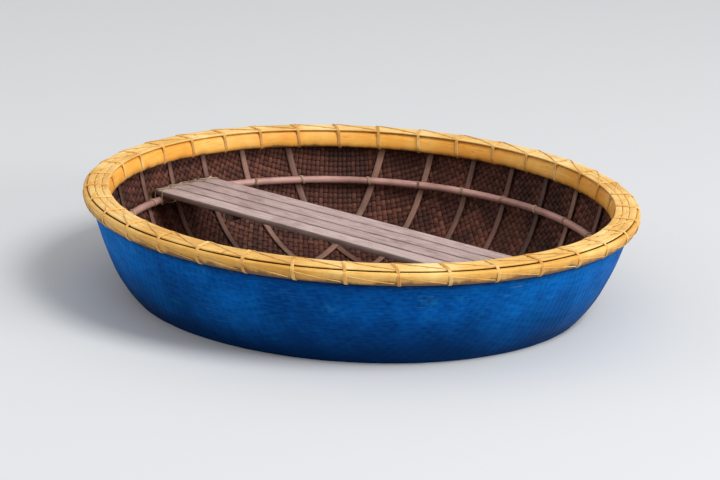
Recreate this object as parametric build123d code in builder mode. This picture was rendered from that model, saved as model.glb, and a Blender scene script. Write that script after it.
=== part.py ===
# Round basket boat: a woven bamboo bowl with a painted coat, a lashed rim of split-bamboo hoops,
# two crossing families of ribs, a hoop lower on the wall and a slatted bench that rests on it.
# Millimetres, +Z up. The origin is the middle of the flat of the bottom, and the bench runs along X.

import math
import os

from build123d import *

os.makedirs("parts", exist_ok=True)

# The bowl's outer face in half section: a flat, then three arcs that run smoothly into each other
base_radius = 268
belly_bend = 1100
belly_turn = 18
bilge_bend = 400
bilge_turn = 46
side_bend = 1000

# Layers of the hull, from the outer face inwards, with the clearance that keeps neighbours apart
coat_thickness = 3
basket_thickness = 8
seat_clearance = 0.3

# Ribs: laths in parallel planes, one family along X and one along Y on top of it
rib_width = 20
rib_thickness = 6
rib_spacing = 165
rib_count = 7
rib_tuck = 55

# Rim: the hoops end at one height, and the cap laths lie on them
hoop_top = 512
edge_drop = 3
outer_hoop_thickness = 22
outer_hoop_height = 45
outer_hoop_round = 12
inner_hoop_thickness = 40
inner_hoop_height = 62
inner_hoop_round = 16
lath_width = 22
lath_thickness = 7.7
lath_chamfer = 2
lath_gap = 2
lath_count = 3

# Bindings round the rim
lashing_count = 36
lashing_width = 12
lashing_thickness = 2.5

# Bench and the hoop that carries it
bench_height = 368
bench_front = -120
plank_width = 68
plank_thickness = 22
plank_gap = 6
plank_count = 4
plank_end_gap = 3
plank_round = 3
stringer_radius = 14
cleat_spacing = 1000
cleat_width = 40
cleat_thickness = 20
cleat_inset = 5

# Insets from the bowl's outer face to each layer's outer side
basket_inset = coat_thickness + seat_clearance
lower_rib_inset = basket_inset + basket_thickness + seat_clearance
upper_rib_inset = lower_rib_inset + rib_thickness + seat_clearance
lining_inset = upper_rib_inset + rib_thickness + seat_clearance

# Centre of the side arc, worked out along the run of arcs
belly_angle = math.radians(belly_turn)
bilge_angle = math.radians(belly_turn + bilge_turn)
bilge_start_radius = base_radius + belly_bend * math.sin(belly_angle)
bilge_start_height = belly_bend * (1 - math.cos(belly_angle))
bilge_end_radius = bilge_start_radius + bilge_bend * (math.sin(bilge_angle) - math.sin(belly_angle))
bilge_end_height = bilge_start_height + bilge_bend * (math.cos(belly_angle) - math.cos(bilge_angle))
side_centre_radius = bilge_end_radius - side_bend * math.sin(bilge_angle)
side_centre_height = bilge_end_height + side_bend * math.cos(bilge_angle)


def side_radius(height, inset=0):
    """Radius at a height of the side's surface that lies this far inside the outer face."""
    rise = side_centre_height - height
    return side_centre_radius + math.sqrt((side_bend - inset) ** 2 - rise**2)


def bowl_layer(outer_inset, inner_inset, top):
    """Layer of the bowl between two insets, turned full circle and cut level at the top."""
    with BuildPart() as layer:
        with BuildSketch(Plane.XZ):
            for inset, mode in ((outer_inset, Mode.ADD), (inner_inset, Mode.SUBTRACT)):
                top_angle = math.acos((side_centre_height - top) / (side_bend - inset))
                side_turn = math.degrees(top_angle - bilge_angle)
                with BuildLine():
                    flat = Line((0, inset), (base_radius, inset))
                    belly = JernArc(flat @ 1, (1, 0), belly_bend - inset, belly_turn)
                    bilge = JernArc(belly @ 1, belly % 1, bilge_bend - inset, bilge_turn)
                    side = JernArc(bilge @ 1, bilge % 1, side_bend - inset, side_turn)
                    Polyline(side @ 1, (0, top), (0, inset))
                make_face(mode=mode)
        revolve(axis=Axis.Z)
    return layer.part


def side_points(inset, low, high):
    """Foot, middle and head of the side's arc at this inset, between two heights."""
    return [(side_radius(height, inset), height) for height in (low, (low + high) / 2, high)]


def side_hoop(outer_inset, inner_inset, low, high, rounding, rounded_side):
    """Hoop between two insets that follows the slope of the side, rounded on one side."""
    with BuildPart() as hoop:
        with BuildSketch(Plane.XZ) as section:
            with BuildLine():
                outer_arc = ThreePointArc(*side_points(outer_inset, low, high))
                inner_arc = ThreePointArc(*side_points(inner_inset, low, high))
                Line(outer_arc @ 0, inner_arc @ 0)
                Line(outer_arc @ 1, inner_arc @ 1)
            make_face()
            corners = section.vertices().sort_by(Axis.X)
            fillet(corners[-2:] if rounded_side == "outer" else corners[:2], rounding)
        revolve(axis=Axis.Z)
    return hoop.part


def bowl_inside(inset, low, high):
    """Everything inside the surface at this inset, between two heights on the side."""
    with BuildPart() as inside:
        with BuildSketch(Plane.XZ):
            with BuildLine():
                wall = ThreePointArc(*side_points(inset, low, high))
                Polyline(wall @ 1, (0, high), (0, low), wall @ 0)
            make_face()
        revolve(axis=Axis.Z)
    return inside.part


def keep(part, label):
    """Names a finished piece and writes it to its own file."""
    part.label = label
    export_step(part, f"parts/{label}.step")


# Basket and coat
edge_height = hoop_top - edge_drop
keep(bowl_layer(0, coat_thickness, edge_height), "hull_coat")
keep(bowl_layer(basket_inset, basket_inset + basket_thickness, edge_height), "hull_basket")

# Rim hoops, rounded on the side away from the basket
outer_hoop_low = hoop_top - outer_hoop_height
outer_hoop_face = -seat_clearance - outer_hoop_thickness
outer_hoop = side_hoop(
    outer_hoop_face, -seat_clearance, outer_hoop_low, hoop_top, outer_hoop_round, "outer"
)
keep(outer_hoop, "rim_outer_hoop")

inner_hoop_low = hoop_top - inner_hoop_height
inner_hoop_face = lining_inset + inner_hoop_thickness
inner_hoop = side_hoop(
    lining_inset, inner_hoop_face, inner_hoop_low, hoop_top, inner_hoop_round, "inner"
)
keep(inner_hoop, "rim_inner_hoop")

# Cap laths, side by side from the inner hoop's face outwards
lath_low = hoop_top + seat_clearance
cap_inner_radius = side_radius(hoop_top, inner_hoop_face)
lath_step = lath_width + lath_gap
for number in range(lath_count):
    with BuildPart() as cap_lath:
        with BuildSketch(Plane.XZ) as lath_section:
            with Locations((cap_inner_radius + number * lath_step, lath_low)):
                Rectangle(lath_width, lath_thickness, align=(Align.MIN, Align.MIN))
            chamfer(lath_section.vertices().group_by(Axis.Y)[-1], lath_chamfer)
        revolve(axis=Axis.Z)
    keep(cap_lath.part, f"rim_cap_lath_{number + 1}")

# Bindings: each is pulled tight over the rim from the coat outside to the ribs inside
cord_off = seat_clearance + lashing_thickness / 2
cap_outer_radius = cap_inner_radius + lath_count * lath_step - lath_gap
cap_top = lath_low + lath_thickness
outer_face = outer_hoop_face - cord_off
inner_face = inner_hoop_face + cord_off
outer_low = outer_hoop_low - cord_off
inner_low = inner_hoop_low - cord_off
with BuildPart() as binding:
    with BuildSketch(Plane.XZ):
        with BuildLine():
            Polyline(
                (side_radius(outer_low) + cord_off, outer_low),
                (side_radius(outer_low, outer_face), outer_low),
                (side_radius(hoop_top, outer_face), hoop_top),
                (cap_outer_radius + cord_off, cap_top + cord_off),
                (cap_inner_radius - cord_off, cap_top + cord_off),
                (side_radius(inner_low, inner_face), inner_low),
                (side_radius(inner_low, lining_inset + cord_off), inner_low),
            )
        trace(line_width=lashing_thickness)
    extrude(amount=lashing_width / 2, both=True)
with BuildPart() as rim_lashings:
    with PolarLocations(0, lashing_count, start_angle=180 / lashing_count):
        add(binding.part)
keep(rim_lashings.part, "rim_lashings")

# Ribs: each is the slice of its layer that a straight lath of this width covers
rib_top = inner_hoop_low + rib_tuck
rib_families = (("rib_along", lower_rib_inset, 0), ("rib_athwart", upper_rib_inset, 90))
for family, inset, turn in rib_families:
    rib_layer = bowl_layer(inset, inset + rib_thickness, rib_top)
    for number in range(rib_count):
        offset_from_middle = (number - (rib_count - 1) / 2) * rib_spacing
        with BuildPart() as rib:
            add(rib_layer)
            with BuildSketch(Plane.XY):
                with PolarLocations(offset_from_middle, 1, start_angle=turn + 90):
                    Rectangle(rib_width, 2 * side_radius(hoop_top))
            extrude(amount=hoop_top, mode=Mode.INTERSECT)
        keep(rib.part, f"{family}_{number + 1}")

# Hoop on the wall, inside the ribs, with its top at the underside of the bench
bench_low = bench_height - plank_thickness
stringer_height = bench_low - seat_clearance - stringer_radius
with BuildPart() as stringer:
    with BuildSketch(Plane.XZ):
        with Locations((side_radius(stringer_height, lining_inset + stringer_radius), stringer_height)):
            Circle(stringer_radius)
    revolve(axis=Axis.Z)
keep(stringer.part, "stringer_hoop")

# Bench planks, scribed to the bowl at both ends
for number in range(plank_count):
    plank_front = bench_front + number * (plank_width + plank_gap)
    with BuildPart() as plank:
        with BuildSketch(Plane.YZ):
            with Locations((plank_front, bench_low)):
                Rectangle(plank_width, plank_thickness, align=(Align.MIN, Align.MIN))
        extrude(amount=side_radius(hoop_top), both=True)
        fillet(plank.edges().filter_by(Axis.X).group_by(Axis.Z)[-1], plank_round)
        add(bowl_inside(lining_inset + plank_end_gap, bench_low, bench_height), mode=Mode.INTERSECT)
    keep(plank.part, f"bench_plank_{number + 1}")

# Cleats across the underside of the planks
bench_depth = plank_count * (plank_width + plank_gap) - plank_gap
for number, end in enumerate((-1, 1)):
    with BuildPart() as cleat:
        with BuildSketch(Plane.XY.offset(bench_low - seat_clearance)):
            with Locations((end * cleat_spacing / 2, bench_front + cleat_inset)):
                Rectangle(cleat_width, bench_depth - 2 * cleat_inset, align=(Align.CENTER, Align.MIN))
        extrude(amount=-cleat_thickness)
    keep(cleat.part, f"bench_cleat_{number + 1}")
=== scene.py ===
# %% [markdown]
# ## A round basket boat
# The boat is a woven bamboo bowl. Its outside is sealed and painted, its rim is a bundle of split
# bamboo tied with cord, and a slatted bench rests on a hoop inside. The solids come from a packed
# model that stays fixed, and this notebook dresses them in finer surfaces that sit in the same place.

# %% Load the fixed model
import math

import bpy
import numpy as np
from mathutils import Matrix, Vector


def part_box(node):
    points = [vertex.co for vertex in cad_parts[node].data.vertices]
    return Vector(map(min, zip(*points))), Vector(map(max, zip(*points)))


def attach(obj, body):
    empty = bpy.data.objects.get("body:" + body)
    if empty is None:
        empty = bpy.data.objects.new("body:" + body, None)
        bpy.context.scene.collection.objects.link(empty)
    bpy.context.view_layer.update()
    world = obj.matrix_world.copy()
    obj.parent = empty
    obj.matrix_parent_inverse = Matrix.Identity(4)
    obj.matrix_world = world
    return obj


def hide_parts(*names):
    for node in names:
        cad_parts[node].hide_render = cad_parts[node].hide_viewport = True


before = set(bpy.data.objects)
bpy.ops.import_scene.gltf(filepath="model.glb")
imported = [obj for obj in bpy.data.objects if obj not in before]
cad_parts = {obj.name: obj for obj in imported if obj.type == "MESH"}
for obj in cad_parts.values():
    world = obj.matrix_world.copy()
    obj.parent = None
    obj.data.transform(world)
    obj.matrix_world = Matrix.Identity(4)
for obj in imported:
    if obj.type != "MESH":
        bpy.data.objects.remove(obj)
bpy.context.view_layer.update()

# %% [markdown]
# ## The line of the bowl
# Everything on this boat follows one curve: the half section of the bowl. It is a flat, then three
# arcs that run smoothly into each other. A drawn line could be spun round, but dozens of pieces lie
# on this bowl, so the line is a function. A point is told by how far it lies along the outer face
# from the middle and by how deep inside that face, and layers stay parallel by themselves.

# %% Bowl line
BASE_RADIUS = 0.268
BELLY_BEND, BILGE_BEND, SIDE_BEND = 1.100, 0.400, 1.000
BELLY_ANGLE, BILGE_ANGLE = math.radians(18), math.radians(64)
BELLY_LENGTH = BELLY_BEND * BELLY_ANGLE
BILGE_LENGTH = BILGE_BEND * (BILGE_ANGLE - BELLY_ANGLE)


def bowl(along, inset=0.0):
    """Radius, height and slope of the wall.

    The slope grows by distance over bend along each arc in turn. Radius and height add up the
    sines and cosines of the slope times the bends, and the inset moves the point along the normal.
    """
    past_flat = np.maximum(along - BASE_RADIUS, 0)
    past_belly = np.maximum(past_flat - BELLY_LENGTH, 0)
    past_bilge = np.maximum(past_belly - BILGE_LENGTH, 0)
    slope = (
        np.minimum(past_flat, BELLY_LENGTH) / BELLY_BEND
        + np.minimum(past_belly, BILGE_LENGTH) / BILGE_BEND
        + past_bilge / SIDE_BEND
    )
    low = np.minimum(slope, BELLY_ANGLE)
    middle = np.clip(slope, BELLY_ANGLE, BILGE_ANGLE)
    high = np.maximum(slope, BILGE_ANGLE)
    radius = np.minimum(along, BASE_RADIUS) + BELLY_BEND * np.sin(low)
    radius = radius + BILGE_BEND * (np.sin(middle) - math.sin(BELLY_ANGLE))
    radius = radius + SIDE_BEND * (np.sin(high) - math.sin(BILGE_ANGLE))
    height = BELLY_BEND * (1 - np.cos(low)) + BILGE_BEND * (math.cos(BELLY_ANGLE) - np.cos(middle))
    height = height + SIDE_BEND * (math.cos(BILGE_ANGLE) - np.cos(high))
    return radius - inset * np.sin(slope), height + inset * np.cos(slope), slope


BILGE_TOP = BASE_RADIUS + BELLY_LENGTH + BILGE_LENGTH
bilge_radius, bilge_height, _ = bowl(np.array(BILGE_TOP))
SIDE_CENTRE_RADIUS = float(bilge_radius) - SIDE_BEND * math.sin(BILGE_ANGLE)
SIDE_CENTRE_HEIGHT = float(bilge_height) + SIDE_BEND * math.cos(BILGE_ANGLE)


def side_radius(height, inset=0.0):
    """Radius on the side at a height: the side's arc solved for its radius."""
    rise = SIDE_CENTRE_HEIGHT - height
    return SIDE_CENTRE_RADIUS + np.sqrt((SIDE_BEND - inset) ** 2 - rise**2)


def side_along(height):
    """Distance along the outer face to a height on the side: bend times the slope there."""
    slope = np.arccos((SIDE_CENTRE_HEIGHT - height) / SIDE_BEND)
    return BILGE_TOP + SIDE_BEND * (slope - BILGE_ANGLE)


coat_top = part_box("hull_coat")[1][2]

# %% [markdown]
# ## Surfaces from arrays
# A strip, a hoop or a plank is a grid of points: one direction runs along it and the other goes
# round its section. A hand-written loop over points would be slow, so the whole grid is worked out
# as one array and handed to the mesh in one go. The first axis of the grid counts the copies.

# %% Grid to mesh
def to_mesh(name, points, capped=True, marks=None):
    """A mesh object from points[copy, along, round, xyz], with a quad between neighbouring points.

    Where the first copy's signed volume is negative, the faces are turned to point outwards. The
    quads are shaded smooth and the caps flat, so that an end is as crisp as a saw leaves it.
    """
    copies, n_along, n_round, _ = points.shape
    index = np.arange(copies * n_along * n_round).reshape(copies, n_along, n_round)
    here, ahead = index[:, :-1], index[:, 1:]
    quads = np.stack([here, np.roll(here, -1, 2), np.roll(ahead, -1, 2), ahead], -1)
    flat = points.reshape(-1, 3)
    corner = flat[quads[0].reshape(-1, 4)]
    spin = np.cross(corner[:, 2] - corner[:, 0], corner[:, 3] - corner[:, 1])
    outward = np.einsum("ij,ij->", spin, corner.mean(1) - flat[index[0]].reshape(-1, 3).mean(0))
    if outward < 0:
        quads = quads[..., ::-1]
    loops = [quads.reshape(-1)]
    sizes = [np.full(quads.size // 4, 4)]
    if capped:
        first, last = index[:, 0], index[:, -1, ::-1]
        if outward >= 0:
            first, last = first[:, ::-1], last[:, ::-1]
        loops += [first.reshape(-1), last.reshape(-1)]
        sizes.append(np.full(2 * copies, n_round))
    loops, sizes = np.concatenate(loops), np.concatenate(sizes)
    mesh = bpy.data.meshes.new(name)
    mesh.vertices.add(len(flat))
    mesh.vertices.foreach_set("co", flat.astype(np.float32).reshape(-1))
    mesh.loops.add(len(loops))
    mesh.loops.foreach_set("vertex_index", loops.astype(np.int32))
    mesh.polygons.add(len(sizes))
    mesh.polygons.foreach_set("loop_start", (np.cumsum(sizes) - sizes).astype(np.int32))
    mesh.polygons.foreach_set("use_smooth", np.arange(len(sizes)) < quads.size // 4)
    for mark, value in (marks or {}).items():
        layer = mesh.attributes.new(mark, "FLOAT_VECTOR", "POINT")
        layer.data.foreach_set("vector", value.astype(np.float32).reshape(-1))
    mesh.update(calc_edges=True)
    piece = bpy.data.objects.new(name, mesh)
    bpy.context.scene.collection.objects.link(piece)
    print(name, "triangles:", int(np.sum(sizes - 2)))
    return piece


# %% [markdown]
# ## Places, sections and handwork
# Strips, hoops and cords share a few shapes: a point told by its angle round the boat, a rounded
# section, and the unevenness of handwork. Random steps from point to point would look rough, so the
# unevenness is a sum of sines, which is smooth and comes out the same each time.

# %% Shape helpers
def place(radius, height, azimuth):
    """Points from a radius, a height and an angle round the boat."""
    return np.stack(np.broadcast_arrays(radius * np.cos(azimuth), radius * np.sin(azimuth), height), -1)


def lay(along, across, number):
    """The mark that finishes read: metres along the piece, metres across it, and a copy's number."""
    return np.stack(np.broadcast_arrays(along, across, number), -1).astype(float)


def rounded(count, half_width, half_height, squareness):
    """A rounded section: cosine and sine of the angle, each raised to two over the squareness."""
    angle = np.linspace(0, 2 * math.pi, count, endpoint=False)
    power = 2 / squareness
    wide = np.sign(np.cos(angle)) * np.abs(np.cos(angle)) ** power * half_width
    tall = np.sign(np.sin(angle)) * np.abs(np.sin(angle)) ** power * half_height
    return wide, tall


def wobble(angle, waves, seed):
    """A soft unevenness from -1 to 1: sines of whole waves round the boat with seeded phases."""
    phase = np.random.default_rng(seed).uniform(0, 2 * math.pi, len(waves))
    total = sum(np.sin(wave * angle + shift) for wave, shift in zip(waves, phase))
    return total / len(waves)


def knuckles(distance, spacing, width, seed):
    """Bamboo joints: a narrow bell at uneven spacing along a length, from 0 to 1."""
    drift = 0.18 * np.sin(distance / spacing * 2.1 + seed)
    phase = distance / spacing + drift + 0.37 * seed
    off = (phase - np.round(phase)) * spacing
    return np.exp(-((off / width) ** 2))


wide, tall = rounded(4, 0.02, 0.01, 2.0)
print("a flat oval of 40 by 20 mm:", list(zip(wide.round(3).tolist(), tall.round(3).tolist())))

# %% [markdown]
# ## Place in the frame
# Each finished piece rides on the boat's one body, belongs to a material slot and stands for the
# solids that it covers, which are then not shown. A tie stands for no solid, so it names none.

# %% Frame helper
def finish_piece(piece, material, nodes=()):
    """Gives a piece its finish and its place in the frame."""
    piece.data.materials.append(material)
    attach(piece, "root")
    if nodes:
        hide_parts(*nodes)


# %% [markdown]
# ## Colours and materials
# A finish on the real boat has a colour, a sheen and a fine relief. Its colours are written here as
# they look on a screen, because that is how they are picked, and one helper turns them into the
# linear ones that Blender works in.

# %% Colours and materials
def tint(red, green, blue):
    """Screen colour in 0 to 255 to a linear colour: the inverse of the screen's tone curve."""
    screen = np.array([red, green, blue]) / 255
    linear = np.where(screen <= 0.04045, screen / 12.92, ((screen + 0.055) / 1.055) ** 2.4)
    return (*linear.tolist(), 1.0)


def grey(value):
    """A plain grey as a colour."""
    return (value, value, value, 1.0)


def new_finish(name, roughness, specular):
    """A material with a Principled shader, and its node tree."""
    material = bpy.data.materials.new(name)
    material.use_nodes = True
    shader = material.node_tree.nodes["Principled BSDF"]
    shader.inputs["Roughness"].default_value = roughness
    shader.inputs["Specular IOR Level"].default_value = specular
    return material, material.node_tree, shader


print("a screen's middle grey is", round(tint(128, 128, 128)[0], 3), "as a linear value")

# %% [markdown]
# ## Nodes in one line each
# Blender keeps a finish as a small graph of nodes. Written out, a node takes one line to make and one
# more for each of its sockets, which hides what the graph does. So each helper here adds a node and
# joins or fills its sockets in one line.

# %% Node helpers
def fill(tree, socket, value):
    """Joins a socket to another node's output, or sets it to a plain value."""
    if isinstance(value, bpy.types.NodeSocket):
        tree.links.new(value, socket)
    else:
        socket.default_value = value


def put(tree, kind, settings=(), **sockets):
    """Adds a node, sets its options and fills its input sockets by name."""
    node = tree.nodes.new(kind)
    for option, value in dict(settings).items():
        setattr(node, option, value)
    for socket_name, value in sockets.items():
        fill(tree, node.inputs[socket_name.replace("_", " ")], value)
    return node


def figure(tree, operation, first, second=0.0, third=0.0):
    """One step of arithmetic on numbers."""
    node = put(tree, "ShaderNodeMath", {"operation": operation})
    for socket, value in zip(node.inputs, (first, second, third)):
        fill(tree, socket, value)
    return node.outputs[0]


def blend_colour(tree, share, below, above):
    """Two colours mixed: the lower one where the share is 0, the upper one where it is 1."""
    node = put(tree, "ShaderNodeMix", {"data_type": "RGBA"})
    for number, value in zip((0, 6, 7), (share, below, above)):
        fill(tree, node.inputs[number], value)
    return node.outputs[2]


def parts_of(tree, vector):
    """The three numbers of a vector, found by their letters X, Y and Z."""
    return put(tree, "ShaderNodeSeparateXYZ", Vector=vector).outputs


# %% [markdown]
# ## Patterns
# Wear, grain and dirt all look like noise, broad or fine, and stretched where they run with a fibre.
# A run of colours turns noise into a colour, and a mask turns it into the share of another colour.
# Noise that is worked out has no seam and no repeat, which a picture wrapped round a boat would have.

# %% Pattern helpers
def run_of(tree, value, *stops):
    """A run of colours along a value, from (place, colour) stops."""
    node = put(tree, "ShaderNodeValToRGB", Fac=value)
    ramp = node.color_ramp
    while len(ramp.elements) < len(stops):
        ramp.elements.new(0.5)
    for element, (position, colour) in zip(ramp.elements, stops):
        element.position, element.color = position, colour
    return node.outputs["Color"]


def mask(tree, value, none_at, full_at, full=1.0):
    """A share that runs evenly from nothing at one value to its full at another."""
    return run_of(tree, value, *sorted([(none_at, grey(0)), (full_at, grey(full))]))


def stretched(tree, vector, size):
    """The same coordinates scaled along each axis."""
    return put(tree, "ShaderNodeMapping", Vector=vector, Scale=size).outputs["Vector"]


def mottle(tree, vector, scale, detail, roughness=0.55):
    """Noise as a grey value: its scale, how many finer layers lie on it, and how strong they are."""
    node = put(tree, "ShaderNodeTexNoise", Vector=vector, Scale=scale, Detail=detail, Roughness=roughness)
    return node.outputs["Fac"]


def relief(tree, shader, height, strength, distance):
    """Fine relief from a grey height."""
    bump = put(tree, "ShaderNodeBump", Strength=strength, Distance=distance, Height=height)
    fill(tree, shader.inputs["Normal"], bump.outputs["Normal"])


def mark_vector(tree):
    """The piece's own coordinates along and across its surface, as its lay mark keeps them."""
    return put(tree, "ShaderNodeAttribute", {"attribute_name": "lay"}).outputs["Vector"]


def object_vector(tree):
    """Coordinates in the boat's own frame."""
    return put(tree, "ShaderNodeTexCoord").outputs["Object"]


# %% [markdown]
# ## Painted coat
# The outside of the basket is sealed with resin and brushed with blue paint. The weave shows
# through as a soft ripple, most where the paint is rubbed pale, and there are fine light scratches.
# The blue is lighter in three broad stretches, told by the cosine of three times the angle round
# the boat: partly uneven fading and partly painted light. It darkens towards the waterline, as a
# wet line and as painted shade, and there is painted shade under the rim. Inside, between strips,
# only dark resin shows, so the third number of the coat's mark says which side a point is on.

# %% Weave under the paint
WEAVE_PITCH = 0.020


def weave_ripple(tree, mark):
    """The weave as a height: the cosine along one set of strips times the cosine along the other."""
    parts = parts_of(tree, mark)
    waves = [
        figure(tree, "COSINE", figure(tree, "MULTIPLY", parts[axis], math.pi / WEAVE_PITCH))
        for axis in ("X", "Y")
    ]
    return figure(tree, "MULTIPLY_ADD", figure(tree, "MULTIPLY", *waves), 0.5, 0.5)


print("weave pitch in millimetres:", WEAVE_PITCH * 1000)

# %% Layers of blue
FADE_AND_LIGHT_STRETCHES = 3.0
rim_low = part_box("rim_outer_hoop")[0][2]


def brushed_blue(tree, on_boat, broad, brush):
    """Three blues by broad noise, lighter where the cosine is high, with brush streaks over them.
    The lighter stretches are partly uneven fading and partly painted light.
    """
    blue = run_of(
        tree, broad, (0.30, tint(0, 48, 110)), (0.50, tint(0, 60, 130)), (0.72, tint(2, 94, 178))
    )
    # painted light: the blue is lighter in three broad stretches round the boat, partly uneven fading
    azimuth = figure(tree, "ARCTAN2", on_boat["Y"], on_boat["X"])
    fade_and_light = figure(tree, "COSINE", figure(tree, "MULTIPLY", azimuth, FADE_AND_LIGHT_STRETCHES))
    fade_and_light = figure(tree, "MULTIPLY_ADD", fade_and_light, 0.22, broad)
    blue = blend_colour(tree, mask(tree, fade_and_light, 0.42, 0.74, 0.7), blue, tint(6, 116, 204))
    streak = run_of(tree, brush, (0.35, tint(2, 48, 112)), (0.65, tint(24, 120, 200)))
    return blend_colour(tree, 0.28, blue, streak)


def worn_blue(tree, blue, boat, rubbed, weave):
    """Pale rubbed patches, scratches that keep to a few places, and painted shade in the weave's
    hollows.
    """
    blue = blend_colour(tree, mask(tree, rubbed, 0.57, 0.70, 0.6), blue, tint(26, 108, 158))
    scratches = mottle(tree, stretched(tree, boat, (5.0, 5.0, 110.0)), 2.0, 4.0, 0.6)
    where_hit = mask(tree, mottle(tree, boat, 4.3, 3.0, 0.5), 0.50, 0.60)
    thin = figure(tree, "MULTIPLY", mask(tree, scratches, 0.640, 0.680, 0.6), where_hit)
    blue = blend_colour(tree, thin, blue, tint(96, 146, 176))
    paint_worn = run_of(tree, rubbed, (0.42, grey(0.15)), (0.64, grey(1)))
    # painted shade in the hollows of the weave, strongest where the paint is rubbed
    hollows = figure(tree, "MULTIPLY", mask(tree, weave, 0.55, 0.0, 0.45), paint_worn)
    return blend_colour(tree, hollows, blue, tint(0, 34, 84))


def shaded_blue(tree, blue, boat, height, broad):
    """Darker by height towards the waterline, as a wet line and as painted shade, bare resin along
    the top, and painted shade under the rim.
    """
    # darker towards the waterline: partly a wet line, partly painted shade where the bowl turns under
    uneven = figure(tree, "MULTIPLY_ADD", figure(tree, "SUBTRACT", broad, 0.5), 0.16, height)
    blue = blend_colour(tree, mask(tree, uneven, 0.38, 0.20, 0.9), blue, tint(3, 34, 74))
    drips = mottle(tree, stretched(tree, boat, (26.0, 26.0, 4.0)), 1.0, 4.0, 0.6)
    bare_edge = figure(tree, "MULTIPLY_ADD", figure(tree, "SUBTRACT", drips, 0.56), 0.10, height)
    bare = mask(tree, bare_edge, rim_low - 0.010, rim_low - 0.006, 0.8)
    blue = blend_colour(tree, bare, blue, tint(84, 84, 80))
    # painted shade under the overhang of the rim
    shade = mask(tree, height, rim_low - 0.024, rim_low - 0.004, 0.8)
    return blend_colour(tree, shade, blue, tint(8, 16, 34))


print("underside of the rim at", round(rim_low, 3))

# %% Blue paint
def make_hull_paint():
    """Blue outside and dark resin inside. The relief adds the weave, the brush strokes and grit."""
    material, tree, shader = new_finish("hull_blue_paint", 0.5, 0.015)
    boat, mark = object_vector(tree), mark_vector(tree)
    on_boat = parts_of(tree, boat)
    broad = mottle(tree, boat, 3.1, 5.0, 0.6)
    brush = mottle(tree, stretched(tree, boat, (9.0, 9.0, 60.0)), 3.0, 6.0, 0.65)
    rubbed = mottle(tree, stretched(tree, boat, (4.0, 4.0, 9.0)), 2.3, 8.0, 0.68)
    weave = weave_ripple(tree, mark)
    blue = brushed_blue(tree, on_boat, broad, brush)
    blue = worn_blue(tree, blue, boat, rubbed, weave)
    blue = shaded_blue(tree, blue, boat, on_boat["Z"], broad)
    colour = blend_colour(tree, parts_of(tree, mark)["Z"], blue, tint(30, 20, 17))
    fill(tree, shader.inputs["Base Color"], colour)
    rough = run_of(tree, rubbed, (0.35, grey(0.44)), (0.70, grey(0.68)))
    fill(tree, shader.inputs["Roughness"], rough)
    grit = figure(tree, "MULTIPLY", mottle(tree, boat, 120.0, 3.0), 0.35)
    fine = figure(tree, "MULTIPLY_ADD", brush, 0.45, grit)
    relief(tree, shader, figure(tree, "MULTIPLY_ADD", weave, 1.9, fine), 0.55, 0.0012)
    return material


hull_paint = make_hull_paint()
print("finish:", hull_paint.name, "with", len(hull_paint.node_tree.nodes), "nodes")

# %% [markdown]
# ## Bare bamboo
# Weave, ribs and pole are split or whole bamboo. It is straight-grained and slightly glossy, so its
# noise is stretched along the strip, and no two strips have one tone. A material for each strip
# would give that too, but there are hundreds, so one material reads the tone from a strip's number.

# %% Bare bamboo
def strip_tone(tree, mark):
    """A steady random grey for each strip, from its number."""
    number = parts_of(tree, mark)["Z"]
    noise = put(tree, "ShaderNodeTexWhiteNoise", {"noise_dimensions": "1D"}, W=number)
    return noise.outputs["Value"]


def make_bamboo(name, dark, middle, light, roughness, specular):
    """Bare split bamboo: grain along the strip, a tone for each strip, grime in patches."""
    material, tree, shader = new_finish(name, roughness, specular)
    mark = mark_vector(tree)
    grain = mottle(tree, stretched(tree, mark, (9.0, 420.0, 7.0)), 1.0, 5.0, 0.6)
    tone = figure(tree, "MULTIPLY_ADD", strip_tone(tree, mark), 0.45, figure(tree, "MULTIPLY", grain, 0.6))
    colour = run_of(tree, tone, (0.20, dark), (0.50, middle), (0.85, light))
    grime = mottle(tree, object_vector(tree), 5.5, 6.0, 0.65)
    colour = blend_colour(tree, mask(tree, grime, 0.42, 0.66, 0.7), colour, dark)
    fill(tree, shader.inputs["Base Color"], colour)
    relief(tree, shader, grain, 0.30, 0.0008)
    return material


weave_bamboo = make_bamboo("weave_bamboo", tint(38, 20, 15), tint(86, 46, 36), tint(126, 78, 60), 0.6, 0.22)
rib_bamboo = make_bamboo("rib_bamboo", tint(56, 36, 30), tint(116, 80, 68), tint(162, 124, 106), 0.55, 0.3)
stringer_bamboo = make_bamboo(
    "stringer_bamboo", tint(122, 84, 76), tint(190, 144, 134), tint(220, 184, 172), 0.45, 0.4
)
print("finishes:", weave_bamboo.name, rib_bamboo.name, stringer_bamboo.name)
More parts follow.
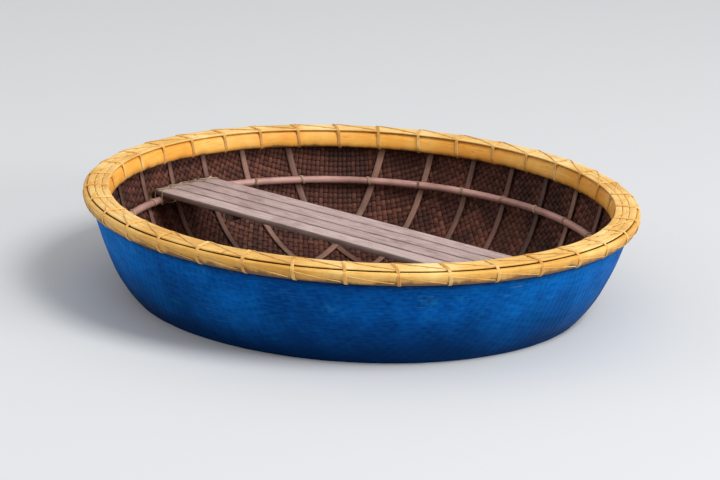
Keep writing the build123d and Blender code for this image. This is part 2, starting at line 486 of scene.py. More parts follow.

# %% [markdown]
# ## Painted rim
# The rim is the same bamboo under yellow paint, which wears off in flecks along the fibre. At the
# foot of a hoop it turns ochre, which is painted shade on the hoop's underside, and then brown along
# its lowest edge. That band could be painted on by hand, but a mask on the height keeps it level
# all round the boat.

# %% Rim paint
def make_rim_paint(name, dark, middle, light, brown_below):
    """Yellow by grain and broad noise, brown in the worn flecks. Ochre and brown are masks on the
    height plus a little noise, and the brown ends at a height given in metres. The ochre is painted
    shade on the lower part of a hoop."""
    material, tree, shader = new_finish(name, 0.5, 0.35)
    mark, boat = mark_vector(tree), object_vector(tree)
    grain = mottle(tree, stretched(tree, mark, (7.0, 300.0, 5.0)), 1.0, 6.0, 0.6)
    broad = mottle(tree, boat, 5.0, 5.0, 0.6)
    tone = figure(tree, "MULTIPLY_ADD", grain, 0.45, figure(tree, "MULTIPLY", broad, 0.6))
    colour = run_of(tree, tone, (0.34, dark), (0.50, middle), (0.68, light))
    worn = mottle(tree, stretched(tree, mark, (16.0, 130.0, 5.0)), 1.0, 8.0, 0.7)
    colour = blend_colour(tree, mask(tree, worn, 0.60, 0.67, 0.8), colour, tint(122, 82, 44))
    patchy = mottle(tree, stretched(tree, boat, (14.0, 14.0, 2.0)), 1.0, 5.0, 0.6)
    patchy = figure(tree, "SUBTRACT", patchy, 0.5)
    uneven = figure(tree, "MULTIPLY_ADD", patchy, -0.05, parts_of(tree, boat)["Z"])
    # painted shade: the lower part of each hoop turns ochre
    ochre_shade = mask(tree, uneven, brown_below + 0.022, brown_below, 0.7)
    colour = blend_colour(tree, ochre_shade, colour, tint(158, 108, 46))
    brown = mask(tree, uneven, brown_below + 0.006, brown_below, 0.85)
    colour = blend_colour(tree, brown, colour, tint(98, 70, 46))
    fill(tree, shader.inputs["Base Color"], colour)
    rough = run_of(tree, worn, (0.4, grey(0.44)), (0.7, grey(0.70)))
    fill(tree, shader.inputs["Roughness"], rough)
    relief(tree, shader, grain, 0.40, 0.001)
    return material


outer_low, outer_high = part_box("rim_outer_hoop")
inner_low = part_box("rim_inner_hoop")[0]
outer_paint = make_rim_paint(
    "outer_rim_paint", tint(182, 124, 44), tint(214, 160, 70), tint(236, 198, 120), outer_low[2] + 0.010
)
inner_paint = make_rim_paint(
    "inner_rim_paint", tint(204, 122, 28), tint(232, 158, 54), tint(242, 190, 96), inner_low[2] + 0.002
)
lath_paint = make_rim_paint(
    "cap_lath_paint", tint(188, 132, 52), tint(222, 174, 90), tint(242, 212, 146), 0.0
)
print("finishes:", outer_paint.name, inner_paint.name, lath_paint.name)

# %% [markdown]
# ## Cord
# The rim and the bench are tied with twisted cord. Strands as meshes of their own would treble the
# faces of a cord that is under 3 mm thick, so the twist is a slanting stripe in its finish, with
# painted shade in the hollows between strands.

# %% Cord
def make_cord(name, dark, middle, light):
    """Twisted cord: the strands are a sine of the distance along plus the distance round, and the
    hollows between strands are darkened as painted shade.
    """
    material, tree, shader = new_finish(name, 0.6, 0.3)
    parts = parts_of(tree, mark_vector(tree))
    round_part = figure(tree, "MULTIPLY", parts["Y"], 900.0)
    twist = figure(tree, "MULTIPLY_ADD", parts["X"], 1500.0, round_part)
    strand = figure(tree, "MULTIPLY_ADD", figure(tree, "SINE", twist), 0.5, 0.5)
    broad = mottle(tree, object_vector(tree), 11.0, 4.0, 0.6)
    colour = run_of(tree, broad, (0.35, dark), (0.55, middle), (0.72, light))
    # painted shade in the hollows between strands
    strand_shade = figure(tree, "MULTIPLY", figure(tree, "SUBTRACT", 1.0, strand), 0.30)
    fill(tree, shader.inputs["Base Color"], blend_colour(tree, strand_shade, colour, dark))
    relief(tree, shader, strand, 0.6, 0.0008)
    return material


painted_cord = make_cord("painted_cord", tint(206, 148, 70), tint(236, 190, 112), tint(246, 220, 166))
plain_cord = make_cord("plain_cord", tint(126, 102, 78), tint(190, 164, 130), tint(222, 206, 178))
print("finishes:", painted_cord.name, plain_cord.name)

# %% [markdown]
# ## Bench wood
# The planks are grey, open-grained wood with old stains, and dark along their edges: partly worn
# edges and partly painted shade on the narrow sides. Rings cut lengthwise look like long slow waves,
# so they are the sine of a noise that is stretched along the plank. A wave texture would be as
# quick, but its lines stay too even.

# %% Bench wood
def make_bench_wood(name, dark, middle, light):
    """Open-grained wood: rings are the sine of a stretched noise, and fine grain lies over them."""
    material, tree, shader = new_finish(name, 0.72, 0.3)
    mark = mark_vector(tree)
    parts = parts_of(tree, mark)
    tone = strip_tone(tree, mark)
    shifted = put(tree, "ShaderNodeCombineXYZ", X=parts["X"], Y=parts["Y"], Z=tone).outputs["Vector"]
    swirl = mottle(tree, stretched(tree, shifted, (1.6, 22.0, 9.0)), 1.0, 2.0, 0.5)
    rings = figure(tree, "SINE", figure(tree, "MULTIPLY", swirl, 90.0))
    grain = mottle(tree, stretched(tree, shifted, (12.0, 700.0, 9.0)), 1.0, 6.0, 0.6)
    mixed = figure(tree, "MULTIPLY_ADD", rings, 0.07, grain)
    shade = figure(tree, "MULTIPLY_ADD", tone, 0.14, figure(tree, "MULTIPLY", mixed, 0.9))
    colour = run_of(tree, shade, (0.30, dark), (0.52, middle), (0.72, light))
    # dark edges: partly worn wood, partly painted shade on the planks' narrow sides
    edge = mask(tree, figure(tree, "ABSOLUTE", parts["Y"]), 0.0295, 0.0335, 0.75)
    colour = blend_colour(tree, edge, colour, tint(92, 76, 70))
    stain = mask(tree, mottle(tree, object_vector(tree), 7.0, 6.0, 0.6), 0.56, 0.74, 0.55)
    colour = blend_colour(tree, stain, colour, tint(104, 78, 68))
    fill(tree, shader.inputs["Base Color"], colour)
    relief(tree, shader, mixed, 0.40, 0.0012)
    return material


bench_wood = make_bench_wood("weathered_plank", tint(116, 94, 90), tint(176, 151, 148), tint(208, 190, 184))
# painted shade: the battens under the bench get darker wood than the planks, for the shade there
batten_shade_wood = make_bench_wood("shaded_batten", tint(70, 54, 48), tint(104, 84, 76), tint(136, 114, 104))
print("finishes:", bench_wood.name, batten_shade_wood.name)

# %% [markdown]
# ## Coat surface
# The coat is a thin closed shell round the basket. A thin wall could be grown from one surface with
# Solidify, but here both sides are known, so it is one sheet that goes out to the edge, folds over
# and comes back. Its outer face has the dents and lumps of handwork, always inwards so that it stays
# within the solid. They die out under the rim, where hoops pinch the coat, and on the flat bottom.

# %% Coat on the basket
WEAVE_TURN = math.radians(45)
COAT_THICKNESS = 0.003
COAT_AROUND, COAT_ROWS_OUT, COAT_ROWS_BACK = 400, 88, 24
DENT_DEPTH, LUMP_DEPTH = 0.0005, 0.0006
SMOOTH_UNDER_RIM, SMOOTH_PAST_FLAT = 0.03, 0.1
POLE_HOLE = 0.0005
PAST_EDGE = 0.03
EDGE_ALONG = float(side_along(coat_top))
LINE_SAMPLES = np.linspace(0, EDGE_ALONG + PAST_EDGE, 4000)


def mat_place(along, azimuth):
    """Flat-mat coordinates of a point: its distance from the middle, laid out at its angle."""
    return along * np.cos(azimuth - WEAVE_TURN), along * np.sin(azimuth - WEAVE_TURN)


def make_coat():
    """One sheet folded at the edge. Going out, a point is the bowl's line at a small depth: a
    product of bent sines for the dents and a sum of sines for the lumps. Coming back, the rows are
    a thickness further in and evenly spaced by slope, so they are close where the line bends."""
    azimuth = np.linspace(0, 2 * math.pi, COAT_AROUND, endpoint=False)[None, :]
    out = np.linspace(POLE_HOLE, EDGE_ALONG, COAT_ROWS_OUT)[:, None]
    line_slope = bowl(LINE_SAMPLES)[2]
    back_slope = np.linspace(float(bowl(np.array(EDGE_ALONG))[2]), 0, COAT_ROWS_BACK)
    back = np.append(np.interp(back_slope, line_slope, LINE_SAMPLES), POLE_HOLE)[:, None]
    mat_u, mat_v = mat_place(out, azimuth)
    dents = np.sin(mat_u * 31 + 2 * np.sin(mat_v * 9)) * np.sin(mat_v * 27 + 2 * np.sin(mat_u * 11))
    lumps = wobble(azimuth + 3 * out, (2, 5, 9, 14), 3) * np.sin(out * 9)
    clear_of_rim = np.clip((float(side_along(rim_low)) - out) / SMOOTH_UNDER_RIM, 0, 1)
    clear_of_flat = np.clip((out - BASE_RADIUS) / SMOOTH_PAST_FLAT, 0, 1)
    depth = clear_of_rim * clear_of_flat * (DENT_DEPTH * (1 + dents) + LUMP_DEPTH * (1 + lumps))
    radius, height, _ = bowl(out, depth)
    outside = place(radius, height, azimuth)
    radius, height, _ = bowl(back, COAT_THICKNESS)
    inside = place(radius, height, azimuth)
    points = np.concatenate([outside, inside])[None]
    along = np.concatenate([out, back])
    is_inside = np.concatenate([np.zeros_like(out), np.ones_like(back)])
    return to_mesh("coat_shell", points, marks={"lay": lay(*mat_place(along, azimuth), is_inside)[None]})


finish_piece(make_coat(), hull_paint, ["hull_coat"])

# %% [markdown]
# ## Woven basket
# The bowl is woven as a flat mat of split-bamboo strips and then pressed into shape. A picture of a
# weave would stay flat and stretch up the wall. So each strip is laid out straight on a flat mat, and
# a point of the mat goes to the bowl at the same distance from the middle. The strips pass over and
# under each other by half a wave for each crossing. Each set is cut into bands of a handy size.

# %% Strips of the weave
BASKET_MIDDLE = COAT_THICKNESS + 0.0043
STRIP_WIDTH = 0.0184
STRIP_THICKNESS = 0.0026
STRIP_SWAY = 0.0024
STRIP_END_GAP = 0.001
SAMPLES_PER_PITCH = 3
REACH = EDGE_ALONG - STRIP_END_GAP
STRIPS_PER_SIDE = int(REACH / WEAVE_PITCH)
WEAVE_BANDS = ((0, 26), (27, 43), (44, STRIPS_PER_SIDE))
WEFT_NUMBERS_FROM = 200


def make_strips(name, turn, numbers):
    """Some strips of one set. Their depth is the middle of the basket plus a cosine along the strip
    whose sign changes from strip to strip, so that the other set, half a wave off, passes the other
    side. The crest is held a little flat by taking off a share of the cosine's cube."""
    number = numbers[:, None, None]
    sideways = number * WEAVE_PITCH
    half_length = np.sqrt(REACH**2 - sideways**2)
    samples = int(2 * half_length.max() / WEAVE_PITCH * SAMPLES_PER_PITCH) + 1
    forward = np.linspace(-1, 1, samples)[None, :, None] * half_length
    across = np.array([-0.5, -0.37, 0.37, 0.5]) * STRIP_WIDTH
    crown = np.array([-0.3, 0.5, 0.5, -0.3]) * STRIP_THICKNESS
    side = sideways + across
    wave = np.cos(math.pi * (forward / WEAVE_PITCH + number + (1 if turn else 0)))
    inset = BASKET_MIDDLE + STRIP_SWAY * (1.4 * wave - 0.4 * wave**3) + crown
    distance = np.minimum(np.hypot(forward, side), REACH)
    azimuth = np.arctan2(side, forward) + WEAVE_TURN + turn
    radius, height, _ = bowl(distance, inset)
    points = place(radius, height, azimuth)
    return to_mesh(name, points, marks={"lay": lay(forward, side, number + WEFT_NUMBERS_FROM * (turn > 0))})


strip_numbers = np.arange(-STRIPS_PER_SIDE, STRIPS_PER_SIDE + 1)
for set_name, turn in (("warp", 0.0), ("weft", math.pi / 2)):
    for band, (nearest, furthest) in enumerate(WEAVE_BANDS):
        in_band = (np.abs(strip_numbers) >= nearest) & (np.abs(strip_numbers) <= furthest)
        strips = make_strips(f"basket_{set_name}_{band + 1}", turn, strip_numbers[in_band])
        finish_piece(strips, weave_bamboo, ["hull_basket"])

# %% [markdown]
# ## Ribs
# Thin laths run across the inside in parallel planes, one family along the bench and one across
# it, on top. A straight bar could be shrinkwrapped onto the bowl, but it would touch only roughly. A
# rib stays in its plane, so its height over a point is read from the bowl's line at that point's
# distance from the middle, at the depth of the rib's under or upper side.

# %% Ribs in parallel planes
RIB_WIDTH, RIB_THICKNESS = 0.020, 0.006
RIB_SAMPLES, PLANE_SAMPLES = 150, 1200
RIB_JOINT_SPACING, RIB_JOINT_WIDTH, RIB_JOINT_SWELL = 0.33, 0.006, 0.12
RIB_FAMILIES = (("rib_along", 0.0, 0.0116), ("rib_athwart", math.pi / 2, 0.0179))


def along_at(radius, inset):
    """Distance along the bowl's line to where a layer has this radius, read off the line."""
    line_radius, _, _ = bowl(LINE_SAMPLES, inset)
    return np.interp(radius, line_radius, LINE_SAMPLES)


def make_rib(name, turn, inset):
    """A lath along the wall. Its outer face is where the rib's plane meets its layer, and the rest
    of the section stands inwards from there, square to the wall. Lengths along the rib are summed
    from fine steps, so that its points are evenly spaced."""
    low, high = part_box(name)
    sideways = (low[1] + high[1]) / 2 if turn == 0 else -(low[0] + high[0]) / 2
    top_radius = float(side_radius(high[2], inset + RIB_THICKNESS))
    across = np.array([-0.5, -0.36, 0, 0.36, 0.5, 0.5, 0, -0.5]) * RIB_WIDTH
    depth = np.array([0.72, 0.94, 1.0, 0.94, 0.72, 0, 0, 0]) * RIB_THICKNESS
    side = (sideways + across)[None, :]
    reach = np.sqrt(top_radius**2 - side**2)
    share = np.linspace(-1, 1, PLANE_SAMPLES)
    line_radius, line_height, _ = bowl(along_at(np.hypot(share * reach[0, 2], sideways), inset), inset)
    travel = np.concatenate([[0], np.cumsum(np.hypot(np.diff(share * reach[0, 2]), np.diff(line_height)))])
    distance = np.linspace(0, travel[-1], RIB_SAMPLES)[:, None]
    forward = np.interp(distance, travel, share) * reach
    joint = knuckles(distance, RIB_JOINT_SPACING, RIB_JOINT_WIDTH, sideways * 9 + turn)
    along = along_at(np.hypot(forward, side), inset)
    radius, height, _ = bowl(along, inset + depth * (1 + RIB_JOINT_SWELL * joint))
    azimuth = np.arctan2(side, forward) + turn
    points = place(radius, np.minimum(height, high[2]), azimuth)
    marks = {"lay": lay(distance, across[None, :], 40 * sideways + 11 * turn)[None]}
    return to_mesh(name + "_lath", points[None], marks=marks)


for family, turn, inset in RIB_FAMILIES:
    for name in sorted(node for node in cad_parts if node.startswith(family)):
        finish_piece(make_rib(name, turn, inset), rib_bamboo, [name])

# %% [markdown]
# ## Hoops and laths of the rim
# The rim is bent split bamboo. Each hoop or lath is one long bar whose two ends meet, so it is
# modelled as a bar with a small cut and not as an endless ring, which a torus would give. Its section
# is a rounded shape, and grooves between the splits and swollen joints ride on top of it.

# %% Bars bent round the boat
BAR_SAMPLES = 440
BAR_CUT = 0.0012
BAR_JOINT_SPACING, BAR_JOINT_WIDTH, BAR_JOINT_SWELL = 0.37, 0.007, 0.035
BEND_SWELL, SPLIT_GROOVE, BEND_RISE = 0.012, 0.06, 0.0007


def make_bar(name, start, centre, wide, tall, follow_side, grooves, seed):
    """A bar round the boat. The section's wide and tall offsets are added to the centre's inset and
    height, and scaled by one plus small waves for the splits, the joints and the bend."""
    azimuth = start + np.linspace(BAR_CUT, 2 * math.pi - BAR_CUT, BAR_SAMPLES)[:, None]
    inset_centre, height_centre = centre
    run = azimuth * float(side_radius(height_centre))
    joint = knuckles(run, BAR_JOINT_SPACING, BAR_JOINT_WIDTH, seed)
    angle = np.arctan2(tall / tall.max(), wide / wide.max())[None, :]
    split = np.abs(np.sin(grooves * angle)) ** 0.5 if grooves else 1.0
    bend = BEND_SWELL * wobble(azimuth, (7, 11, 17), seed)
    swell = 1 + BAR_JOINT_SWELL * joint + bend - SPLIT_GROOVE * (1 - split)
    wide_now, tall_now = wide[None, :] * swell, tall[None, :] * swell
    height = height_centre + tall_now + BEND_RISE * wobble(azimuth, (3, 8, 13), seed + 1)
    if follow_side:
        radius = side_radius(height, inset_centre + wide_now)
    else:
        radius = inset_centre - wide_now
    points = place(radius, height, azimuth)
    perimeter = np.cumsum(np.hypot(np.diff(wide, prepend=wide[-1]), np.diff(tall, prepend=tall[-1])))
    marks = {"lay": lay(run, perimeter[None, :], seed)[None]}
    return to_mesh(name, points[None], marks=marks)


# %% Outer and inner hoop
def hoop_from_node(name, node, inset_out, inset_in, squareness, grooves, seed, start):
    """A rim hoop that fills its solid: the middle of its insets and heights, and half of each."""
    low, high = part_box(node)
    half_wide, half_tall = (inset_in - inset_out) / 2, (high[2] - low[2]) / 2
    wide, tall = rounded(24, half_wide * 0.97, half_tall * 0.985, squareness)
    centre = ((inset_in + inset_out) / 2, (high[2] + low[2]) / 2)
    return make_bar(name, start, centre, wide, tall, True, grooves, seed)


OUTER_HOOP_OUT, OUTER_HOOP_IN = -0.0223, -0.0003
INNER_HOOP_OUT, INNER_HOOP_IN = 0.0242, 0.0642
outer_hoop = hoop_from_node(
    "outer_hoop_bamboo", "rim_outer_hoop", OUTER_HOOP_OUT, OUTER_HOOP_IN, 3.0, 3, 5, 2.2
)
inner_hoop = hoop_from_node(
    "inner_hoop_bamboo", "rim_inner_hoop", INNER_HOOP_OUT, INNER_HOOP_IN, 2.7, 0, 8, 4.9
)
finish_piece(outer_hoop, outer_paint, ["rim_outer_hoop"])
finish_piece(inner_hoop, inner_paint, ["rim_inner_hoop"])

# %% Laths on top
lath_nodes = sorted(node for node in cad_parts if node.startswith("rim_cap_lath"))
LATH_WIDTH = 0.022
LATH_SWELL = 1.05
for number, node in enumerate(lath_nodes):
    low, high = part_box(node)
    wide, tall = rounded(16, LATH_WIDTH / 2 * LATH_SWELL, (high[2] - low[2]) / 2 * 0.96, 3.6)
    centre = (high[0] - LATH_WIDTH / 2, (high[2] + low[2]) / 2)
    lath = make_bar(f"cap_lath_{number + 1}", 1.1 + 1.9 * number, centre, wide, tall, False, 0, 20 + number)
    finish_piece(lath, lath_paint, [node])

# %% [markdown]
# ## Bindings
# The rim is held together by cord that goes several times round hoops and laths, then slants on over
# the top and the outer side to the next place. A curve object with a bevel would do for one cord, but
# there are hundreds of runs. So the rim's outline is found once, pulled tight over its corners, and a
# cord is told by two numbers: how far round the section it is, and the angle round the boat.

# %% Tight path
FINE_POINTS = 400
EASE_REACH = 8


def tight_path(corners, samples):
    """Evenly spaced points on a run of straight lines, with each corner eased by averaging."""
    corners = np.array(corners, float)
    length = np.concatenate([[0], np.cumsum(np.linalg.norm(np.diff(corners, axis=0), axis=1))])
    fine = np.linspace(0, length[-1], FINE_POINTS)
    path = np.stack([np.interp(fine, length, column) for column in corners.T], -1)
    padded = np.pad(path, ((EASE_REACH, EASE_REACH), (0, 0)), mode="edge")
    window = np.ones(2 * EASE_REACH + 1) / (2 * EASE_REACH + 1)
    eased = np.stack([np.convolve(column, window, "valid") for column in padded.T], -1)
    return eased[np.linspace(0, FINE_POINTS - 1, samples).astype(int)], length / length[-1]


# %% Outline of the rim
CORD_RADIUS = 0.0014
cap_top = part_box("rim_cap_lath_1")[1][2]
cap_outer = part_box("rim_cap_lath_3")[1][0]
cap_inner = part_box("rim_cap_lath_1")[1][0] - LATH_WIDTH
hoop_top = outer_high[2]
off = CORD_RADIUS
outer_z, inner_z = outer_low[2] - off, inner_low[2] - off
rim_corners = [
    (side_radius(outer_z) + off, outer_z),
    (side_radius(outer_z, OUTER_HOOP_OUT + 0.010) + off, outer_z),
    (side_radius(outer_z + 0.012, OUTER_HOOP_OUT) + off, outer_z + 0.012),
    (side_radius(hoop_top - 0.012, OUTER_HOOP_OUT) + off, hoop_top - 0.012),
    (side_radius(hoop_top, OUTER_HOOP_OUT + 0.008), hoop_top + off),
    (cap_outer, cap_top + off),
    (cap_inner + 0.002, cap_top + off),
    (cap_inner - off, cap_top - 0.004),
    (side_radius(hoop_top - 0.016, INNER_HOOP_IN) - off, hoop_top - 0.016),
    (side_radius(inner_z + 0.020, INNER_HOOP_IN) - off, inner_z + 0.020),
    (side_radius(inner_z, INNER_HOOP_IN - 0.014) - off, inner_z),
    (side_radius(inner_z, INNER_HOOP_OUT + 0.004), inner_z),
]
outline, corner_share = tight_path(rim_corners, 200)
outline_share = np.linspace(0, 1, len(outline))
outline_step = np.gradient(outline, axis=0)
outline_normal = np.stack([outline_step[:, 1], -outline_step[:, 0]], -1)
outline_normal /= np.linalg.norm(outline_normal, axis=1)[:, None]


def on_rim(share, azimuth):
    """Place and outward direction on the rim, at a share of the outline's length."""
    radius, height = (np.interp(share, outline_share, column) for column in outline.T)
    out, up = (np.interp(share, outline_share, column) for column in outline_normal.T)
    return place(radius, height, azimuth), place(out, up, azimuth)


print("outline length", round(float(np.sum(np.linalg.norm(np.diff(outline, axis=0), axis=1))), 3))

# %% Tube along a path
CORD_SIDES = 6


def carry_tube(name, centre, normal, radius):
    """Tubes along centre[copy, along, xyz]. Round a tube, a point is the centre plus the cosine of
    the angle times the outward direction plus its sine times the direction sideways."""
    step = np.gradient(centre, axis=1)
    ahead = step / np.linalg.norm(step, axis=2, keepdims=True)
    sideways = np.cross(ahead, normal)
    sideways /= np.linalg.norm(sideways, axis=2, keepdims=True)
    outward = np.cross(sideways, ahead)
    angle = np.linspace(0, 2 * math.pi, CORD_SIDES, endpoint=False)[:, None]
    ring = np.cos(angle) * outward[:, :, None] + np.sin(angle) * sideways[:, :, None]
    travel = np.cumsum(np.linalg.norm(step, axis=2), axis=1)[:, :, None]
    number = np.arange(len(centre))[:, None, None]
    marks = {"lay": lay(travel, angle[:, 0] * radius, number)}
    return to_mesh(name, centre[:, :, None] + radius * ring, marks=marks)


# %% Cord bindings
BINDING_COUNT = 36
BINDING_SAMPLES = 34
TURNS = 4
TURN_PITCH = 2.05 * CORD_RADIUS
BINDING_STEP = 2 * math.pi / BINDING_COUNT
BINDING_LEAN, LEAN_SPREAD = -0.030, 0.15
BINDING_SLACK = 0.0004
binding_azimuths = (np.arange(BINDING_COUNT) + 0.5) * BINDING_STEP
rim_radius = float(cap_outer)


def make_bindings():
    """Turns side by side: each is moved by a cord's width, and all lean as they go over the rim."""
    rng = np.random.default_rng(12)
    share = np.linspace(0, 1, BINDING_SAMPLES)[None, None, :]
    turn = np.arange(TURNS)[None, :, None] - (TURNS - 1) / 2
    slack = rng.normal(0, BINDING_SLACK, (BINDING_COUNT, TURNS, 1)) * np.sin(share * math.pi)
    lean = BINDING_LEAN * (1 + rng.normal(0, LEAN_SPREAD, (BINDING_COUNT, 1, 1)))
    beside = turn * TURN_PITCH + lean * (share - 0.5) + slack
    azimuth = binding_azimuths[:, None, None] + beside / rim_radius
    centre, normal = on_rim(share + 0 * azimuth, azimuth)
    shape = (-1, share.size, 3)
    return carry_tube("rim_bindings", centre.reshape(shape), normal.reshape(shape), CORD_RADIUS)


finish_piece(make_bindings(), painted_cord, ["rim_lashings"])

# %% Running cords
RUNNING_SAMPLES = 20
STRANDS = np.array([-1.1, 1.1])[None, :, None] * CORD_RADIUS
RUN_START, RUN_LENGTH = 0.03, 0.94
RUN_WANDER = 0.04


def make_running_cords():
    """Pairs of cords from each binding to the next. One pair slants over the top and one over the
    outer side, so the share of the outline and the angle both grow evenly."""
    rng = np.random.default_rng(15)
    centres, normals = [], []
    for share_from, share_to in ((corner_share[6], corner_share[5]), (corner_share[3], corner_share[2])):
        along = np.linspace(0, 1, RUNNING_SAMPLES)[None, None, :]
        wander = rng.normal(0, RUN_WANDER, (BINDING_COUNT, 1, 1))
        share = share_from + (share_to - share_from) * np.clip(along + wander * np.sin(along * math.pi), 0, 1)
        azimuth = binding_azimuths[:, None, None] + (RUN_START + RUN_LENGTH * along) * BINDING_STEP
        azimuth = azimuth + STRANDS / rim_radius + 0 * share
        centre, normal = on_rim(share + 0 * azimuth, azimuth)
        centres.append(centre.reshape(-1, along.size, 3))
        normals.append(normal.reshape(-1, along.size, 3))
    centres, normals = np.concatenate(centres), np.concatenate(normals)
    return carry_tube("rim_running_cords", centres, normals, CORD_RADIUS * 0.9)


finish_piece(make_running_cords(), painted_cord, ["rim_lashings"])

# %% [markdown]
# ## Hoop for the bench
# A whole bamboo pole is bent into a hoop inside the ribs. It is the same kind of bar as the rim's
# with a round section, and short ties hold it to each rib that it crosses.

# %% Stringer hoop
stringer_low, stringer_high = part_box("stringer_hoop")
stringer_radius = (stringer_high[2] - stringer_low[2]) / 2
stringer_height = (stringer_high[2] + stringer_low[2]) / 2
stringer_centre = stringer_high[0] - stringer_radius
wide, tall = rounded(16, stringer_radius * 0.95, stringer_radius * 0.95, 2.0)
stringer = make_bar("stringer_pole", 3.6, (stringer_centre, stringer_height), wide, tall, False, 0, 31)
finish_piece(stringer, stringer_bamboo, ["stringer_hoop"])

# %% Ties of the stringer hoop
TIE_RADIUS = 0.0014
TIE_TURNS = 3
TIE_SAMPLES = 20
TIE_REACH_DEGREES = 122
TIE_LEAN = 0.012
RIB_SPACING = 0.165
rib_offsets = (np.arange(7) - 3) * RIB_SPACING
offset_angles = np.arcsin(rib_offsets / stringer_centre)
rib_crossings = np.concatenate(
    [np.concatenate([turn + offset_angles, turn + math.pi - offset_angles]) for _, turn, _ in RIB_FAMILIES]
)


def make_stringer_ties():
    """Turns round the pole's free side: circles in the wall's section that lean a little."""
    rng = np.random.default_rng(14)
    angle = np.radians(np.linspace(TIE_REACH_DEGREES, -TIE_REACH_DEGREES, TIE_SAMPLES))[None, None, :]
    turn = np.arange(TIE_TURNS)[None, :, None] - (TIE_TURNS - 1) / 2
    lean = TIE_LEAN * rng.choice([-1, 1], (len(rib_crossings), 1, 1))
    beside = turn * 2.1 * TIE_RADIUS + lean * angle / math.pi
    azimuth = rib_crossings[:, None, None] + beside / stringer_centre
    gap = stringer_radius + TIE_RADIUS * 0.8
    centre = place(stringer_centre - gap * np.cos(angle), stringer_height + gap * np.sin(angle), azimuth)
    normal = place(-np.cos(angle), np.sin(angle), azimuth)
    shape = (-1, angle.size, 3)
    return carry_tube("stringer_ties", centre.reshape(shape), normal.reshape(shape), TIE_RADIUS)


finish_piece(make_stringer_ties(), plain_cord)

# %% [markdown]
# ## Bench
# The planks are cut to the bowl at both ends. A box cut by a bowl with a Boolean would leave long
# thin faces, so a plank is a bar along X whose half length at each point is where the bowl's wall is.
# The top is slightly cupped and the planks sit a little uneven, as old boards do. Two cross battens
# lie under them, a little smaller at their sawn ends.

# %% Planks
PLANK_INSET = 0.0272
PLANK_SAMPLES = 90
LOWEST_BOW, HIGHEST_BOW = 0.0004, 0.0012
CUP_DEPTH = 0.0009
EDGE_NIBBLE = 0.010
PLANK_DROP = 0.0008


def make_plank(name, seed):
    """Plank along X: x is a share of the wall's reach at each point of the section."""
    low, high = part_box(name)
    half_wide, half_tall = (high[1] - low[1]) / 2, (high[2] - low[2]) / 2
    across, tall = rounded(28, half_wide * 0.985, half_tall * 0.97, 9.0)
    share = np.linspace(-1, 1, PLANK_SAMPLES)[:, None]
    middle_y, middle_z = (high[1] + low[1]) / 2, (high[2] + low[2]) / 2
    rng = np.random.default_rng(seed)
    bow = rng.uniform(LOWEST_BOW, HIGHEST_BOW) * np.cos(share * math.pi / 2 + rng.uniform(-0.4, 0.4))
    cup = -CUP_DEPTH * (1 - (across / half_wide) ** 2)[None, :] * (tall > 0)
    nibble = 1 + EDGE_NIBBLE * np.sin(share * 23 + seed) * np.sin(share * 7.3)
    y = middle_y + across[None, :] * nibble
    z = np.minimum(middle_z + tall[None, :] + cup + bow - PLANK_DROP, high[2])
    reach = np.sqrt(side_radius(z, PLANK_INSET) ** 2 - y**2)
    points = np.stack([share * reach, y, z], -1)
    marks = {"lay": lay(share * reach, across[None, :] + 0.2 * tall[None, :], seed)[None]}
    return to_mesh(name + "_board", points[None], marks=marks)


for number in range(4):
    plank = f"bench_plank_{number + 1}"
    finish_piece(make_plank(plank, 50 + number), bench_wood, [plank])

# %% Cleats
SAWN_EDGE = 0.0025
SAWN_END_SIZE = 0.9


def make_cleat(name, seed):
    """Cross batten under the planks: a rounded bar along Y, a little smaller at both sawn ends."""
    low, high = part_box(name)
    across, tall = rounded(24, (high[0] - low[0]) / 2, (high[2] - low[2]) / 2 * 0.98, 8.0)
    inner_run = np.linspace(low[1] + SAWN_EDGE, high[1] - SAWN_EDGE, 22)
    run = np.concatenate([[low[1]], inner_run, [high[1]]])[:, None]
    section = np.where((run > low[1]) & (run < high[1]), 1.0, SAWN_END_SIZE)
    x = (low[0] + high[0]) / 2 + across[None, :] * section
    z = (low[2] + high[2]) / 2 + tall[None, :] * section
    points = np.stack([x, run + 0 * x, z], -1)
    return to_mesh(name + "_batten", points[None], marks={"lay": lay(run, across[None, :], seed)[None]})


for number in range(2):
    cleat = f"bench_cleat_{number + 1}"
    finish_piece(make_cleat(cleat, 60 + number), batten_shade_wood, [cleat])

# %% [markdown]
# ## Ties of the bench
# At both ends each plank is tied down to the hoop: a cord comes up through the gap on one side of the
# pole, crosses the plank and goes down through the next gap on the pole's other side. Two of these
# make a cross on the plank. The path is pulled tight over its corners in the way the rim's cord is.

# %% Crossed ties
CROSS_SAMPLES = 48


def make_bench_ties():
    """Loops of four corners: two under the pole, two over the plank, one on each side of both."""
    centres, normals = [], []
    beside_pole = stringer_radius + 1.6 * TIE_RADIUS
    strands = np.array([-1.05, 1.05]) * TIE_RADIUS
    for number in range(4):
        low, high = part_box(f"bench_plank_{number + 1}")
        front, back = low[1] - 1.2 * TIE_RADIUS, high[1] + 1.2 * TIE_RADIUS
        under, over = stringer_low[2] - TIE_RADIUS, high[2] + 0.7 * TIE_RADIUS
        pole_x = math.sqrt(stringer_centre**2 - ((low[1] + high[1]) / 2) ** 2)
        for end in (-1, 1):
            for slant in (-1, 1):
                near, far = end * (pole_x - slant * beside_pole), end * (pole_x + slant * beside_pole)
                corners = [
                    (end * pole_x, (front + back) / 2, under),
                    (near, front, under),
                    (near, front, over),
                    (far, back, over),
                    (far, back, under),
                    (end * pole_x, (front + back) / 2, under),
                ]
                path, _ = tight_path(corners, CROSS_SAMPLES)
                for strand in strands:
                    centres.append(path + np.array((strand, 0, 0)))
                    normals.append(path - path.mean(0))
    return carry_tube("bench_ties", np.array(centres), np.array(normals), TIE_RADIUS)


finish_piece(make_bench_ties(), plain_cord)

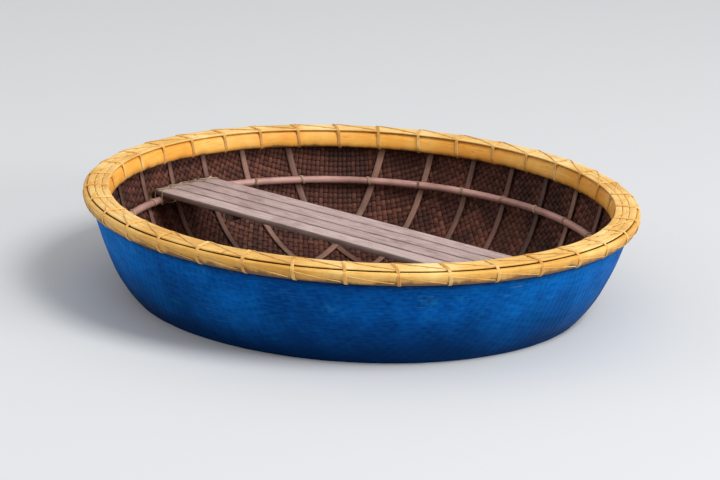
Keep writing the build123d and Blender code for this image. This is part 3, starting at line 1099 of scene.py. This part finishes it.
# %% [markdown]
# ## Floor
# The floor lies at the boat's waterline and has a round opening inside the hull. A plane with a hole
# cut in it would do too, but a flat ring needs no cut: its inner edge is hidden within the coat.

# %% Floor at the waterline
RIM_ABOVE_WATER = 0.358
FLOOR_AROUND, FLOOR_ROWS, FLOOR_REACH = 128, 8, 60
waterline = cap_top - RIM_ABOVE_WATER
hull_at_water = float(np.interp(waterline, *bowl(LINE_SAMPLES, 0.0)[1::-1]))


def make_floor():
    """A flat ring from within the coat to far out, its radius growing by equal ratios."""
    azimuth = np.linspace(0, 2 * math.pi, FLOOR_AROUND, endpoint=False)[None, :]
    radius = np.geomspace(hull_at_water - COAT_THICKNESS, FLOOR_REACH, FLOOR_ROWS)[:, None]
    points = place(radius, waterline + 0 * radius, azimuth)
    floor = to_mesh("floor", points[None], capped=False)
    material, _, shader = new_finish("pale_floor", 0.9, 0.2)
    shader.inputs["Base Color"].default_value = tint(204, 206, 208)
    floor.data.materials.append(material)


make_floor()
print("waterline height", round(waterline, 3), "hull radius there", round(hull_at_water, 3))

# %% [markdown]
# ## Light
# The light is a plain soft studio: a white world gives most of it, and three square lamps give the
# shape. Small lamps close by would leave bright patches on the floor, so these are large and far off.

# %% Studio light
WORLD_STRENGTH = 0.62
LAMP_TARGET = (0, 0, 0.3)
world = bpy.data.worlds.new("studio")
bpy.context.scene.world = world
world.use_nodes = True
world.node_tree.nodes["Background"].inputs["Color"].default_value = grey(1.0)
world.node_tree.nodes["Background"].inputs["Strength"].default_value = WORLD_STRENGTH


def add_lamp(name, position, size, power):
    """A square area lamp that is turned towards the boat and not seen itself."""
    lamp = bpy.data.lights.new(name, "AREA")
    lamp.size, lamp.energy = size, power
    holder = bpy.data.objects.new(name, lamp)
    holder.location = position
    holder.rotation_euler = (Vector(LAMP_TARGET) - Vector(position)).to_track_quat("-Z", "Y").to_euler()
    holder.visible_camera = False
    bpy.context.scene.collection.objects.link(holder)


add_lamp("key", (9.8, 0.6, 13.2), 6.4, 1840)
add_lamp("side", (22.7, 6.1, 7.6), 6.5, 2070)
add_lamp("fill", (-5.4, -6.3, 3.8), 4.5, 100)
print("lamps:", [lamp.name for lamp in bpy.data.lights])

# %% [markdown]
# ## Camera
# The camera stands where the photograph's did, seen from the boat. The boat leans a little in the
# photograph and stands level here, so the same lean is taken out of the camera's place and upright.
# Its axes are built from three vectors, because a Track To constraint would lose that lean.

# %% Camera
CAMERA_HEIGHT = 2.705
BOAT_AHEAD, BOAT_LEFT = 8.397, 0.544
HEEL, TRIM = math.radians(2.76), math.radians(-0.74)
BENCH_TURN = math.radians(35)
LENS = 128.0

lean = Matrix.Rotation(TRIM, 3, "X") @ Matrix.Rotation(HEEL, 3, "Y")
into_boat = Matrix.Rotation(BENCH_TURN, 3, "Z") @ lean.transposed()
eye = into_boat @ Vector((BOAT_LEFT, -BOAT_AHEAD, CAMERA_HEIGHT - RIM_ABOVE_WATER))
eye = eye + Vector((0, 0, cap_top))
aim = Vector((0, 0, (cap_top + waterline) / 2))
upright = into_boat @ Vector((0, 0, 1))
backwards = (eye - aim).normalized()
rightwards = upright.cross(backwards).normalized()
camera_data = bpy.data.cameras.new("camera")
camera_data.lens = LENS
camera = bpy.data.objects.new("camera", camera_data)
axes = Matrix((rightwards, backwards.cross(rightwards), backwards)).transposed()
camera.matrix_world = Matrix.Translation(eye) @ axes.to_4x4()
bpy.context.scene.collection.objects.link(camera)
bpy.context.scene.camera = camera
bpy.context.scene.view_settings.view_transform = "Standard"
print("camera at", [round(value, 3) for value in eye])
